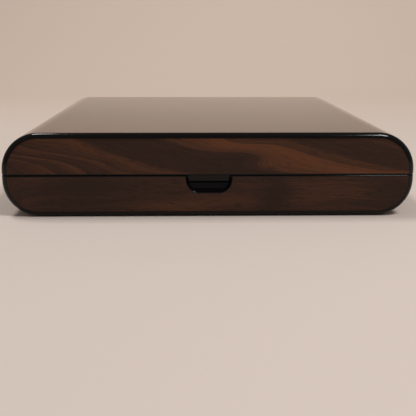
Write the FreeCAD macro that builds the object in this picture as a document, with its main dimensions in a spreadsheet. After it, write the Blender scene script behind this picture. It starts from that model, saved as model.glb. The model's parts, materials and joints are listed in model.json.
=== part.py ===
"""Hinged wooden money box: a veneered lid and base of one section, on two brass stop hinges.

All sizes are millimetres. The origin is the middle of the face that the box rests on, +Z is up, the
front faces -Y and +X is to the right as seen from the front. The lid is modelled shut.
"""
import FreeCAD
import Part
import Sketcher

import math
import os

# Driving sizes: alias, size, meaning
SIZES = (
    ("box_width", 270.0, "outside, across the front"),
    ("box_depth", 262.0, "outside, front to back, without the hinges"),
    ("base_height", 27.2, "underside of the shell to the rim of the base"),
    ("lid_height", 27.45, "rim of the lid to its top"),
    ("lid_gap", 0.2, "gap between the two rims when shut"),
    ("base_straight", 3.8, "upright part of the base's sides, rim to the round end"),
    ("lid_straight", 2.4, "upright part of the lid's sides, rim to the round end"),
    ("edge_bead", 4.0, "black edging, square section before rounding"),
    ("edge_round", 3.7, "rounding of the edging's outer corner"),
    ("veneer", 0.8, "face and wrap veneers"),
    ("board", 7.2, "top and bottom boards"),
    ("cheek", 14.2, "side mouldings at the rim"),
    ("rail", 10.2, "front and back rails"),
    ("tongue", 2.4, "thickness of the boards' tongues"),
    ("tongue_depth", 4.0, "reach of the tongues into the cheeks"),
    ("rim_facing", 0.9, "black facing on the rims"),
    ("rim_chamfer", 0.5, "broken outer edge of the rims"),
    ("lining", 1.2, "wall linings"),
    ("lining_round", 0.8, "rounding of the linings' free edge"),
    ("lining_drop", 1.0, "linings stop this far from the rim"),
    ("floor_pad", 1.6, "lining of the base's floor"),
    ("lid_pad", 3.0, "pad inside the lid"),
    ("pad_round", 1.4, "rounding of the pads' free edges"),
    ("pad_fit", 0.3, "gap between a pad and the wall linings"),
    ("divider", 5.0, "thickness of the dividers"),
    ("divider_round", 1.6, "rounding of the dividers' top edges"),
    ("divider_drop", 3.0, "dividers stop this far below the rim"),
    ("housing", 1.5, "depth of the housings for the cross dividers"),
    ("note_bay", 160.0, "width of the bays for notes"),
    ("coin_bay", 75.0, "length of the front and rear bays for coins"),
    ("notch_width", 31.0, "finger notch, outside its rounded rim"),
    ("notch_height", 12.0, "finger notch, rim of the base to its lowest edge"),
    ("notch_corner", 6.6, "lower corners of the finger notch"),
    ("notch_depth", 9.4, "finger notch liner, front to back"),
    ("notch_wall", 1.1, "sides and floor of the liner"),
    ("notch_back", 1.4, "back wall of the liner"),
    ("notch_round", 0.9, "rounded rim of the finger notch"),
    ("notch_cove", 5.3, "cove where the scoop meets its back"),
    ("felt_thickness", 0.5, "felt that the box rests on"),
    ("felt_margin", 5.0, "felt stops this far inside the flat of the underside"),
    ("felt_corner", 6.0, "corners of the felt"),
    ("hinge_inset", 60.0, "end of the box to the middle of a hinge"),
    ("hinge_length", 38.0, "length of each hinge along its pin"),
    ("hinge_fit", 0.1, "room round a leaf in its mortise"),
    ("leaf_depth", 9.5, "pin to the front edge of a leaf"),
    ("leaf_thickness", 4.2, "leaf, measured from the rim"),
    ("heel", 3.0, "reach of the stop heels behind the pin"),
    ("stop_angle", 95.0, "degrees that the lid opens before the heels meet"),
    ("barrel_radius", 2.6, "knuckles"),
    ("barrel_relief", 0.15, "room round a knuckle in the other leaf"),
    ("knuckle_gap", 0.2, "gap between knuckles along the pin"),
    ("pin_radius", 1.25, "hinge pin"),
    ("pin_clearance", 0.05, "radial running clearance of the lid's knuckles"),
    ("pin_chamfer", 0.3, "chamfer at the ends of the pin"),
    ("screw_head", 2.3, "radius of the countersunk heads"),
    ("screw_shank", 1.2, "radius of the shanks"),
    ("screw_length", 11.0, "screws over all"),
    ("screw_slot", 0.6, "width of the screw slots"),
    ("slot_depth", 0.7, "depth of the screw slots"),
    ("screw_set", 6.1, "hinge pin to the screws"),
    ("screw_spacing", 22.0, "between the two screws of a leaf"),
)
KNUCKLES = 3
SAME_PLACE = 1e-4

doc = FreeCAD.newDocument("money_box")
sheet = doc.addObject("Spreadsheet::Sheet", "Dim")
for row, (alias, size, meaning) in enumerate(SIZES, start=1):
    sheet.set(f"A{row}", alias)
    sheet.set(f"B{row}", str(size))
    sheet.setAlias(f"B{row}", alias)
    sheet.set(f"C{row}", meaning)
doc.recompute()

# Places worked out from the driving sizes
HALF_WIDTH = "Dim.box_width / 2"
HALF_DEPTH = "Dim.box_depth / 2"
INNER_X = "(Dim.box_width / 2 - Dim.veneer - Dim.cheek)"
INNER_Y = "(Dim.box_depth / 2 - Dim.veneer - Dim.rail)"
LINED_X = f"({INNER_X} - Dim.lining)"
LINED_Y = f"({INNER_Y} - Dim.lining)"
BASE_RIM = "(Dim.felt_thickness + Dim.base_height)"
LID_RIM = f"({BASE_RIM} + Dim.lid_gap)"
AXIS_HEIGHT = f"({BASE_RIM} + Dim.lid_gap / 2)"
HINGE_X = f"({HALF_WIDTH} - Dim.hinge_inset)"
FLOOR = "(Dim.veneer + Dim.board)"
NOTCH_SIDE = "Dim.notch_width / 2"
SHELL_LENGTH = "(Dim.box_depth - 2 * Dim.edge_bead)"


def value(expression):
    """The number that an expression on the sheet stands for."""
    return float(sheet.evalExpression(expression))


class Half:
    """The base or the lid: a flat outer face with round ends, and a rim above or below it."""

    def __init__(self, name, flat, rim, to_rim):
        self.name = name
        self.flat = flat
        self.rim = rim
        self.to_rim = to_rim
        self.radius = f"(Dim.{name}_height - Dim.{name}_straight)"
        self.arc_x = f"({HALF_WIDTH} - {self.radius})"

    def from_flat(self, distance):
        """Height at a distance from the outer flat, towards the rim."""
        return f"({self.flat} + {self.to_rim} * ({distance}))"

    def from_rim(self, distance):
        """Height at a distance from the rim, towards the outer flat."""
        return f"({self.rim} - {self.to_rim} * ({distance}))"

    def lower(self, first, second):
        """The lower of two heights, the first being the one nearer the flat."""
        return first if self.to_rim > 0 else second


BASE = Half("base", "Dim.felt_thickness", BASE_RIM, 1)
LID = Half("lid", f"({LID_RIM} + Dim.lid_height)", LID_RIM, -1)
pieces = []


# Sketches and features

def new_body(label):
    body = doc.addObject("PartDesign::Body", label)
    body.Label = label
    return body


def origin_plane(body, role):
    return next(plane for plane in body.Origin.OriginFeatures if plane.Role == role)


def new_sketch(body, name, role, offset):
    """A sketch on an origin plane, moved along the plane's normal by an expression."""
    sketch = body.newObject("Sketcher::SketchObject", f"{body.Name}_{name}")
    sketch.AttachmentSupport = [(origin_plane(body, role), "")]
    sketch.MapMode = "FlatFace"
    sketch.setExpression("AttachmentOffset.Base.z", offset)
    return sketch


def front_sketch(body, name, behind_front):
    """Across is +X and up is +Z, on a plane some way behind the front face."""
    return new_sketch(body, name, "XZ_Plane", f"{HALF_DEPTH} - ({behind_front})")


def plan_sketch(body, name, height):
    """Across is +X and up is +Y, on a level plane."""
    return new_sketch(body, name, "XY_Plane", height)


def side_sketch(body, name, across):
    """Across is +Y and up is +Z, on a plane square to X."""
    return new_sketch(body, name, "YZ_Plane", across)


def bind(sketch, constraint, expression):
    number = sketch.addConstraint(constraint)
    sketch.setExpression(f"Constraints[{number}]", expression)


def arc_between(start, stop, centre):
    """The short arc about a centre, with the numbers of the ends that start and stop it."""
    first = math.atan2(start.y - centre.y, start.x - centre.x)
    last = math.atan2(stop.y - centre.y, stop.x - centre.x)
    circle = Part.Circle(centre, FreeCAD.Vector(0, 0, 1), start.distanceToPoint(centre))
    if math.sin(last - first) > 0:
        return Part.ArcOfCircle(circle, first, last), 1, 2
    return Part.ArcOfCircle(circle, last, first), 2, 1


def draw_loop(sketch, corners, arcs=None):
    """Close a loop through corners, each an (across, up) pair of expressions.

    arcs gives, for the number of a corner, the centre and radius of the arc that leads on from it.
    """
    arcs = arcs or {}
    points = [FreeCAD.Vector(value(across), value(up), 0) for across, up in corners]
    spans = []
    for number, start in enumerate(points):
        stop = points[(number + 1) % len(points)]
        if number in arcs:
            across, up, _ = arcs[number]
            curve, first, last = arc_between(start, stop, FreeCAD.Vector(value(across), value(up), 0))
        else:
            curve, first, last = Part.LineSegment(start, stop), 1, 2
        spans.append((sketch.addGeometry(curve), first, last))
    for number, (span, first, last) in enumerate(spans):
        next_span, next_first, _ = spans[(number + 1) % len(spans)]
        sketch.addConstraint(Sketcher.Constraint("Coincident", span, last, next_span, next_first))
    for number, (span, first, _) in enumerate(spans):
        across, up = corners[number]
        point = points[number]
        bind(sketch, Sketcher.Constraint("DistanceX", -1, 1, span, first, point.x), across)
        bind(sketch, Sketcher.Constraint("DistanceY", -1, 1, span, first, point.y), up)
        if number in arcs:
            radius = arcs[number][2]
            bind(sketch, Sketcher.Constraint("Radius", span, value(radius)), radius)


def draw_box(sketch, left, right, low, high):
    draw_loop(sketch, [(left, low), (right, low), (right, high), (left, high)])


def draw_circle(sketch, across, up, radius):
    centre = FreeCAD.Vector(value(across), value(up), 0)
    circle = sketch.addGeometry(Part.Circle(centre, FreeCAD.Vector(0, 0, 1), value(radius)))
    bind(sketch, Sketcher.Constraint("DistanceX", -1, 1, circle, 3, centre.x), across)
    bind(sketch, Sketcher.Constraint("DistanceY", -1, 1, circle, 3, centre.y), up)
    bind(sketch, Sketcher.Constraint("Radius", circle, value(radius)), radius)


def draw_rounded_box(sketch, half_across, half_up, radius):
    """A rectangle about the sketch's origin with round corners."""
    side = f"({half_across} - {radius})"
    end = f"({half_up} - {radius})"
    corners = [
        (f"-{side}", f"-({half_up})"), (side, f"-({half_up})"),
        (half_across, f"-{end}"), (half_across, end),
        (side, half_up), (f"-{side}", half_up),
        (f"-({half_across})", end), (f"-({half_across})", f"-{end}"),
    ]
    arcs = {
        1: (side, f"-{end}", radius), 3: (side, end, radius),
        5: (f"-{side}", end, radius), 7: (f"-{side}", f"-{end}", radius),
    }
    draw_loop(sketch, corners, arcs)


def pad(body, sketch, length, reverse=False, symmetric=False):
    feature = body.newObject("PartDesign::Pad", f"{sketch.Name}_pad")
    feature.Profile = sketch
    feature.setExpression("Length", length)
    feature.Reversed = reverse
    if symmetric:
        feature.SideType = "Symmetric"
    doc.recompute()
    return feature


def pocket(body, sketch, length, reverse=False):
    """Cut a sketch into the body, and make sure that it did cut."""
    before = body.Shape.Volume
    feature = body.newObject("PartDesign::Pocket", f"{sketch.Name}_pocket")
    feature.Profile = sketch
    feature.setExpression("Length", length)
    feature.Reversed = reverse
    doc.recompute()
    if not body.Shape.Volume < before:
        raise RuntimeError(f"{feature.Name} cuts nothing")
    return feature


def mirror(body, feature, role):
    mirrored = body.newObject("PartDesign::Mirrored", f"{feature.Name}_mirrored")
    mirrored.Originals = [feature]
    mirrored.MirrorPlane = (origin_plane(body, role), [""])
    body.Tip = mirrored
    doc.recompute()


def dress(body, kind, setting, keep, size):
    """Fillet or chamfer the edges of the body for which keep(middle, edge) holds."""
    base = body.Tip
    names = []
    for number, edge in enumerate(base.Shape.Edges, start=1):
        middle = edge.valueAt((edge.FirstParameter + edge.LastParameter) / 2)
        if keep(middle, edge):
            names.append(f"Edge{number}")
    feature = body.newObject(f"PartDesign::{kind}", f"{base.Name}_{kind.lower()}")
    feature.Base = (base, names)
    feature.setExpression(setting, size)
    doc.recompute()


def fillet(body, keep, radius):
    dress(body, "Fillet", "Radius", keep, radius)


def chamfer(body, keep, size):
    dress(body, "Chamfer", "Size", keep, size)


def near(first, second):
    return abs(first - second) < SAME_PLACE


# Outlines of the section

def half_corners(half, inset, rim_end):
    """The section of one half, inset from the outside and stopped short of the rim."""
    side = f"({HALF_WIDTH} - ({inset}))"
    flat = half.from_flat(inset)
    bend = half.from_flat(half.radius)
    rim = half.from_rim(rim_end)
    return [
        (f"-{side}", rim), (f"-{side}", bend), (f"-{half.arc_x}", flat),
        (half.arc_x, flat), (side, bend), (side, rim),
    ]


def half_arc(half, side, inset):
    """Centre and radius of a round end, inset from the outside."""
    return (f"{side} * {half.arc_x}", half.from_flat(half.radius), f"{half.radius} - ({inset})")


def draw_half(sketch, half, inset):
    """The solid section of one half, up to the rim facing."""
    arcs = {1: half_arc(half, -1, inset), 3: half_arc(half, 1, inset)}
    draw_loop(sketch, half_corners(half, inset, "Dim.rim_facing"), arcs)


def draw_half_band(sketch, half, inset):
    """The band of the section between the outside and an inset, up to the rim facing."""
    outer = half_corners(half, "0", "Dim.rim_facing")
    inner = half_corners(half, inset, "Dim.rim_facing")
    arcs = {
        1: half_arc(half, -1, "0"), 3: half_arc(half, 1, "0"),
        7: half_arc(half, 1, inset), 9: half_arc(half, -1, inset),
    }
    draw_loop(sketch, outer + inner[::-1], arcs)


def draw_notch(sketch, inset, corner):
    """The finger notch in the base's rim, inset from its outer outline."""
    side = f"({NOTCH_SIDE} - ({inset}))"
    low = f"({BASE_RIM} - Dim.notch_height + ({inset}))"
    bend = f"({low} + ({corner}))"
    inner = f"({side} - ({corner}))"
    corners = [
        (f"-{side}", BASE_RIM), (f"-{side}", bend), (f"-{inner}", low),
        (inner, low), (side, bend), (side, BASE_RIM),
    ]
    arcs = {1: (f"-{inner}", bend, corner), 3: (inner, bend, corner)}
    draw_loop(sketch, corners, arcs)


# Cuts that several pieces share

def cut_notch(body):
    """Room for the finger notch liner."""
    sketch = front_sketch(body, "notch", "0")
    draw_notch(sketch, "0", "Dim.notch_corner")
    pocket(body, sketch, "Dim.notch_depth")


def cut_mortises(body, half):
    """Room for the two hinge leaves, open at the rim and at the back."""
    sketch = plan_sketch(body, "mortise", half.rim)
    reach = "(Dim.hinge_length / 2 + Dim.hinge_fit)"
    for side in (-1, 1):
        middle = f"{side} * {HINGE_X}"
        front = f"{HALF_DEPTH} - Dim.leaf_depth - Dim.hinge_fit"
        draw_box(sketch, f"{middle} - {reach}", f"{middle} + {reach}", front, HALF_DEPTH)
    pocket(body, sketch, "Dim.leaf_thickness", reverse=half is LID)


def cut_pilot_holes(body, half):
    """Holes for the shanks of the hinge screws."""
    sketch = plan_sketch(body, "pilot", half.rim)
    for across, back in screw_places():
        draw_circle(sketch, across, back, "Dim.screw_shank")
    pocket(body, sketch, "Dim.screw_length", reverse=half is LID)


# Shell of each half

def edging(half, end, behind_front, outer_face):
    """Black bead round the front or back of the section."""
    body = new_body(f"{half.name}_{end}_edging")
    sketch = front_sketch(body, "band", behind_front)
    draw_half_band(sketch, half, "Dim.edge_bead")
    pad(body, sketch, "Dim.edge_bead", reverse=True)
    face = value(outer_face)
    flat = value(half.flat)
    side = value(HALF_WIDTH)
    radius = value(half.radius)

    def on_outside(middle, edge):
        if not near(middle.y, face):
            return False
        if isinstance(edge.Curve, Part.Circle):
            return near(edge.Curve.Radius, radius)
        return near(abs(middle.x), side) or near(middle.z, flat)

    fillet(body, on_outside, "Dim.edge_round")
    pieces.append(body)


def wrap_veneer(half):
    """One sheet of veneer, from rim to rim round the cheeks and the board."""
    body = new_body(f"{half.name}_wrap_veneer")
    sketch = front_sketch(body, "band", "Dim.edge_bead")
    draw_half_band(sketch, half, "Dim.veneer")
    pad(body, sketch, SHELL_LENGTH, reverse=True)
    pieces.append(body)


def face_veneer(half, end, behind_front):
    body = new_body(f"{half.name}_{end}_veneer")
    sketch = front_sketch(body, "face", behind_front)
    draw_half(sketch, half, "Dim.edge_bead")
    pad(body, sketch, "Dim.veneer", reverse=True)
    if end == "back":
        cut_mortises(body, half)
    elif half is BASE:
        cut_notch(body)
    pieces.append(body)


def rail(half, end, behind_front):
    """Front or back rail, behind its veneer and inside the rebates of cheeks and board."""
    body = new_body(f"{half.name}_{end}_rail")
    sketch = front_sketch(body, "outline", behind_front)
    draw_half(sketch, half, "Dim.edge_bead")
    pad(body, sketch, "Dim.rail", reverse=True)
    if end == "back":
        cut_mortises(body, half)
        cut_pilot_holes(body, half)
    elif half is BASE:
        cut_notch(body)
    pieces.append(body)


def rebate_ends(body, half):
    """Rebates at both ends of a cheek or board that take the rails."""
    sketch = front_sketch(body, "rebate", "Dim.edge_bead")
    draw_half(sketch, half, "Dim.edge_bead")
    mirror(body, pocket(body, sketch, "Dim.veneer + Dim.rail - Dim.edge_bead"), "XZ_Plane")


def tongue_faces(half):
    """Heights of the two faces of the tongue in the middle of the board's thickness."""
    middle = "Dim.veneer + Dim.board / 2"
    return half.from_flat(f"{middle} - Dim.tongue / 2"), half.from_flat(f"{middle} + Dim.tongue / 2")


def cheek(half, name, side):
    """Quarter-round side moulding with a toe, grooved for the board's tongue."""
    body = new_body(f"{half.name}_{name}_cheek")
    outer, inner = tongue_faces(half)
    face = f"{side} * {INNER_X}"
    toe = f"{side} * {half.arc_x}"
    groove = f"{side} * ({half.arc_x} + Dim.tongue_depth)"
    outside = f"{side} * ({HALF_WIDTH} - Dim.veneer)"
    rim = half.from_rim("Dim.rim_facing")
    floor = half.from_flat(FLOOR)
    corners = [
        (face, rim), (outside, rim), (outside, half.from_flat(half.radius)),
        (toe, half.from_flat("Dim.veneer")), (toe, outer), (groove, outer), (groove, inner),
        (toe, inner), (toe, floor), (face, floor),
    ]
    sketch = front_sketch(body, "section", "Dim.edge_bead")
    draw_loop(sketch, corners, {2: half_arc(half, side, "Dim.veneer")})
    pad(body, sketch, SHELL_LENGTH, reverse=True)
    rebate_ends(body, half)
    pieces.append(body)


def board(half, name):
    """Top or bottom board, tongued into the toes of both cheeks."""
    body = new_body(f"{half.name}_{name}_board")
    outer, inner = tongue_faces(half)
    edge = half.arc_x
    tip = f"({edge} + Dim.tongue_depth)"
    right = [
        (edge, half.from_flat(FLOOR)), (edge, inner), (tip, inner),
        (tip, outer), (edge, outer), (edge, half.from_flat("Dim.veneer")),
    ]
    left = [(f"-{across}", up) for across, up in right[::-1]]
    sketch = front_sketch(body, "section", "Dim.edge_bead")
    draw_loop(sketch, right + left)
    pad(body, sketch, SHELL_LENGTH, reverse=True)
    rebate_ends(body, half)
    pieces.append(body)


def rim_facing(half):
    """Black facing that covers the ends of every board at the rim."""
    body = new_body(f"{half.name}_rim_facing")
    sketch = plan_sketch(body, "ring", half.lower(half.from_rim("Dim.rim_facing"), half.rim))
    draw_rounded_box(sketch, HALF_WIDTH, HALF_DEPTH, "Dim.edge_round")
    draw_box(sketch, f"-{INNER_X}", INNER_X, f"-{INNER_Y}", INNER_Y)
    pad(body, sketch, "Dim.rim_facing")
    rim = value(half.rim)
    inside_x = value(INNER_X)
    inside_y = value(INNER_Y)

    def on_rim(middle, edge):
        inside = abs(middle.x) < inside_x + 1 and abs(middle.y) < inside_y + 1
        return near(middle.z, rim) and not inside

    chamfer(body, on_rim, "Dim.rim_chamfer")
    cut_mortises(body, half)
    if half is BASE:
        cut_notch(body)
    pieces.append(body)


# Linings, dividers and felt

def lining_section(half, wall, inward):
    """Section of a wall lining: its free edge is rounded on the side of the hollow."""
    floor = half.from_flat(FLOOR)
    edge = half.from_rim("Dim.lining_drop")
    bend = half.from_rim("Dim.lining_drop + Dim.lining_round")
    face = f"{wall} + {inward} * Dim.lining"
    start = f"{wall} + {inward} * (Dim.lining - Dim.lining_round)"
    corners = [(wall, floor), (face, floor), (face, bend), (start, edge), (wall, edge)]
    return corners, {2: (start, bend, "Dim.lining_round")}


def wall_linings(half):
    """Front and back linings run the full width, and the side linings fit between them."""
    for name, side in (("front", -1), ("back", 1)):
        body = new_body(f"{half.name}_{name}_lining")
        sketch = side_sketch(body, "section", "0")
        draw_loop(sketch, *lining_section(half, f"{side} * {INNER_Y}", -side))
        pad(body, sketch, f"2 * {INNER_X}", symmetric=True)
        pieces.append(body)
    for name, side in (("left", -1), ("right", 1)):
        body = new_body(f"{half.name}_{name}_lining")
        sketch = front_sketch(body, "section", HALF_DEPTH)
        draw_loop(sketch, *lining_section(half, f"{side} * {INNER_X}", -side))
        pad(body, sketch, f"2 * {LINED_Y}", symmetric=True)
        pieces.append(body)


def soft_pad(half, label, thickness):
    """Padded lining on the inside of a board, rounded towards the hollow."""
    body = new_body(label)
    seat = half.from_flat(FLOOR)
    face = half.from_flat(f"{FLOOR} + {thickness}")
    sketch = plan_sketch(body, "outline", half.lower(seat, face))
    across = f"({LINED_X} - Dim.pad_fit)"
    back = f"({LINED_Y} - Dim.pad_fit)"
    draw_box(sketch, f"-{across}", across, f"-{back}", back)
    pad(body, sketch, thickness)
    free_face = value(face)
    fillet(body, lambda middle, edge: near(middle.z, free_face), "Dim.pad_round")
    pieces.append(body)


def divider_section(middle):
    """Section of a divider about its middle: upright, with a rounded top."""
    low = BASE.from_flat(f"{FLOOR} + Dim.floor_pad")
    high = BASE.from_rim("Dim.divider_drop")
    bend = f"({high} - Dim.divider_round)"
    left = f"({middle} - Dim.divider / 2)"
    right = f"({middle} + Dim.divider / 2)"
    start = f"({left} + Dim.divider_round)"
    stop = f"({right} - Dim.divider_round)"
    corners = [(left, low), (right, low), (right, bend), (stop, high), (start, high), (left, bend)]
    arcs = {2: (stop, bend, "Dim.divider_round"), 4: (start, bend, "Dim.divider_round")}
    return corners, arcs


def dividers():
    """A long divider between notes and coins, with cross dividers housed in its sides."""
    note_side = f"(Dim.note_bay - {LINED_X})"
    middle = f"({note_side} + Dim.divider / 2)"
    coin_side = f"({note_side} + Dim.divider)"
    note_end = f"({note_side} + Dim.housing)"
    coin_end = f"({coin_side} - Dim.housing)"
    coin_middle = f"({LINED_Y} - Dim.coin_bay - Dim.divider / 2)"
    cross = (
        ("note_divider", f"-{LINED_X}", note_end, "0"),
        ("front_coin_divider", coin_end, LINED_X, f"-{coin_middle}"),
        ("rear_coin_divider", coin_end, LINED_X, coin_middle),
    )

    body = new_body("long_divider")
    sketch = front_sketch(body, "section", HALF_DEPTH)
    draw_loop(sketch, *divider_section(middle))
    pad(body, sketch, f"2 * {LINED_Y}", symmetric=True)
    sketch = plan_sketch(body, "housings", BASE_RIM)
    for name, start, stop, back in cross:
        left, right = (note_side, note_end) if name == "note_divider" else (coin_end, coin_side)
        draw_box(sketch, left, right, f"{back} - Dim.divider / 2", f"{back} + Dim.divider / 2")
    pocket(body, sketch, "Dim.base_height")
    pieces.append(body)

    for name, start, stop, back in cross:
        body = new_body(name)
        sketch = side_sketch(body, "section", start)
        draw_loop(sketch, *divider_section(back))
        pad(body, sketch, f"{stop} - {start}")
        pieces.append(body)


def base_felt():
    body = new_body("base_felt")
    sketch = plan_sketch(body, "outline", "0")
    across = f"({BASE.arc_x} - Dim.felt_margin)"
    back = f"({HALF_DEPTH} - Dim.edge_bead - Dim.felt_margin)"
    draw_rounded_box(sketch, across, back, "Dim.felt_corner")
    pad(body, sketch, "Dim.felt_thickness")
    pieces.append(body)


def finger_notch_liner():
    """Black insert with a scooped hollow: a rounded rim in front and a cove at the back."""
    body = new_body("finger_notch_liner")
    outline = front_sketch(body, "outline", "0")
    draw_notch(outline, "0", "Dim.notch_corner")
    pad(body, outline, "Dim.notch_depth", reverse=True)
    scoop = front_sketch(body, "scoop", "0")
    draw_notch(scoop, "Dim.notch_wall", "Dim.notch_corner - Dim.notch_wall")
    pocket(body, scoop, "Dim.notch_depth - Dim.notch_back")
    rim = value(BASE_RIM)
    front = -value(HALF_DEPTH)
    back = front + value("Dim.notch_depth - Dim.notch_back")
    inside = value(f"{NOTCH_SIDE} - Dim.notch_wall / 2")
    floor = value(f"{BASE_RIM} - Dim.notch_height + Dim.notch_wall / 2")
    corner = value("Dim.notch_corner - Dim.notch_wall")

    def of_scoop(middle, edge, plane):
        if not near(middle.y, plane):
            return False
        if isinstance(edge.Curve, Part.Circle):
            return near(edge.Curve.Radius, corner)
        return abs(middle.x) < inside and floor < middle.z and not near(middle.z, rim)

    fillet(body, lambda middle, edge: of_scoop(middle, edge, back), "Dim.notch_cove")
    fillet(body, lambda middle, edge: of_scoop(middle, edge, front), "Dim.notch_round")
    pieces.append(body)


# Stop hinges

def screw_places():
    """Where the hinge screws stand, seen from above."""
    back = f"{HALF_DEPTH} - Dim.screw_set"
    for side in (-1, 1):
        for end in (-1, 1):
            yield f"{side} * {HINGE_X} + {end} * Dim.screw_spacing / 2", back


def knuckle(name, number, radius, extra):
    """A cylinder on the hinge pin that spans one knuckle, lengthened at both ends by extra."""
    pitch = f"(Dim.hinge_length + Dim.knuckle_gap) / {KNUCKLES}"
    cylinder = doc.addObject("Part::Cylinder", name)
    cylinder.setExpression("Radius", radius)
    cylinder.setExpression("Height", f"{pitch} - Dim.knuckle_gap + 2 * ({extra})")
    cylinder.Placement.Rotation = FreeCAD.Rotation(FreeCAD.Vector(0, 1, 0), 90)
    cylinder.setExpression("Placement.Base.x", f"{number} * {pitch} - Dim.hinge_length / 2 - ({extra})")
    cylinder.setExpression("Placement.Base.y", HALF_DEPTH)
    cylinder.setExpression("Placement.Base.z", AXIS_HEIGHT)
    return cylinder


def fuse(name, solids):
    if len(solids) == 1:
        return solids[0]
    result = doc.addObject("Part::MultiFuse", name)
    result.Shapes = solids
    result.Refine = True
    return result


def cut(name, base, tool):
    result = doc.addObject("Part::Cut", name)
    result.Base = base
    result.Tool = tool
    result.Refine = True
    return result


def leaf_plate(half, name):
    """Leaf with its stop heel: the stop face leans half the opening angle from the rim."""
    body = new_body(f"{name}_plate")
    front = f"({HALF_DEPTH} - Dim.leaf_depth)"
    heel = f"({HALF_DEPTH} + Dim.heel)"
    far = half.from_rim("Dim.leaf_thickness")
    corners = [
        (front, half.rim), (front, far), (heel, far),
        (heel, half.from_rim("Dim.heel * tan(Dim.stop_angle / 2)")), (HALF_DEPTH, half.rim),
    ]
    sketch = side_sketch(body, "section", "0")
    draw_loop(sketch, corners)
    pad(body, sketch, "Dim.hinge_length", symmetric=True)
    return body


def screw_hole(half, name, end):
    """Countersunk hole through a leaf, as a shank and a cone."""
    hole = doc.addObject("Part::Cylinder", f"{name}_hole")
    hole.setExpression("Radius", "Dim.screw_shank")
    hole.setExpression("Height", "Dim.leaf_thickness")
    cone = doc.addObject("Part::Cone", f"{name}_countersink")
    cone.setExpression("Radius1", "Dim.screw_head")
    cone.setExpression("Radius2", "Dim.screw_shank")
    cone.setExpression("Height", "Dim.screw_head - Dim.screw_shank")
    turn = 180 if half is BASE else 0
    for solid in (hole, cone):
        solid.Placement.Rotation = FreeCAD.Rotation(FreeCAD.Vector(1, 0, 0), turn)
        solid.setExpression("Placement.Base.x", f"{end} * Dim.screw_spacing / 2")
        solid.setExpression("Placement.Base.y", f"{HALF_DEPTH} - Dim.screw_set")
        solid.setExpression("Placement.Base.z", half.rim)
    return [hole, cone]


def hinge_leaf(half, side_name, side):
    """One leaf: its own knuckles stand on it, and it is relieved round those of the other leaf."""
    label = f"{side_name}_{half.name}_hinge_leaf"
    first = 0 if half is BASE else 1
    own = [knuckle(f"{label}_knuckle_{number}", number, "Dim.barrel_radius", "0")
           for number in range(first, KNUCKLES, 2)]
    others = [knuckle(f"{label}_relief_{number}", number,
                      "Dim.barrel_radius + Dim.barrel_relief", "Dim.knuckle_gap")
              for number in range(1 - first, KNUCKLES, 2)]
    bore_radius = "Dim.pin_radius" if half is BASE else "Dim.pin_radius + Dim.pin_clearance"
    holes = [knuckle(f"{label}_bore_{number}", number, bore_radius, "Dim.knuckle_gap")
             for number in range(first, KNUCKLES, 2)]
    for end in (-1, 1):
        holes += screw_hole(half, f"{label}_{'left' if end < 0 else 'right'}", end)

    relieved = cut(f"{label}_relieved", leaf_plate(half, label), fuse(f"{label}_reliefs", others))
    solid = fuse(f"{label}_solid", [relieved] + own)
    leaf = cut(label, solid, fuse(f"{label}_drill", holes))
    leaf.Label = label
    leaf.setExpression("Placement.Base.x", f"{side} * {HINGE_X}")
    pieces.append(leaf)


def hinge_pin(side_name, side):
    """Turned pin, chamfered at both ends."""
    body = new_body(f"{side_name}_hinge_pin")
    sketch = side_sketch(body, "section", "0")
    draw_circle(sketch, HALF_DEPTH, AXIS_HEIGHT, "Dim.pin_radius")
    pad(body, sketch, "Dim.hinge_length", symmetric=True)
    chamfer(body, lambda middle, edge: isinstance(edge.Curve, Part.Circle), "Dim.pin_chamfer")
    body.setExpression("Placement.Base.x", f"{side} * {HINGE_X}")
    pieces.append(body)


def screw(half, name, across, back):
    """Countersunk screw with a slot and a plain shank, its head level with the leaf."""
    body = new_body(name)
    profile = new_sketch(body, "profile", "XZ_Plane", "0")
    corners = [
        ("0", "0"), ("Dim.screw_head", "0"), ("Dim.screw_shank", "Dim.screw_shank - Dim.screw_head"),
        ("Dim.screw_shank", "-Dim.screw_length"), ("0", "-Dim.screw_length"),
    ]
    draw_loop(profile, corners)
    turned = body.newObject("PartDesign::Revolution", f"{name}_turned")
    turned.Profile = profile
    turned.ReferenceAxis = (profile, ["V_Axis"])
    turned.Angle = 360
    doc.recompute()
    slot = plan_sketch(body, "slot", "0")
    draw_box(slot, "-Dim.screw_head", "Dim.screw_head", "-Dim.screw_slot / 2", "Dim.screw_slot / 2")
    pocket(body, slot, "Dim.slot_depth")
    turn = 0 if half is BASE else 180
    body.Placement.Rotation = FreeCAD.Rotation(FreeCAD.Vector(1, 0, 0), turn)
    body.setExpression("Placement.Base.x", across)
    body.setExpression("Placement.Base.y", back)
    body.setExpression("Placement.Base.z", half.rim)
    return body


def hinge_screws(half):
    label = f"{half.name}_hinge_screws"
    group = doc.addObject("Part::Compound", label)
    group.Label = label
    group.Links = [screw(half, f"{half.name}_screw_{number}", across, back)
                   for number, (across, back) in enumerate(screw_places(), start=1)]
    pieces.append(group)


# Assembly

def build_half(half, board_name):
    board(half, board_name)
    cheek(half, "left", -1)
    cheek(half, "right", 1)
    rail(half, "front", "Dim.veneer")
    rail(half, "back", "Dim.box_depth - Dim.veneer - Dim.rail")
    wrap_veneer(half)
    face_veneer(half, "front", "0")
    face_veneer(half, "back", "Dim.box_depth - Dim.veneer")
    edging(half, "front", "0", f"-{HALF_DEPTH}")
    edging(half, "back", "Dim.box_depth - Dim.edge_bead", HALF_DEPTH)
    rim_facing(half)
    wall_linings(half)
    for side_name, side in (("left", -1), ("right", 1)):
        hinge_leaf(half, side_name, side)
    hinge_screws(half)


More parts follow.
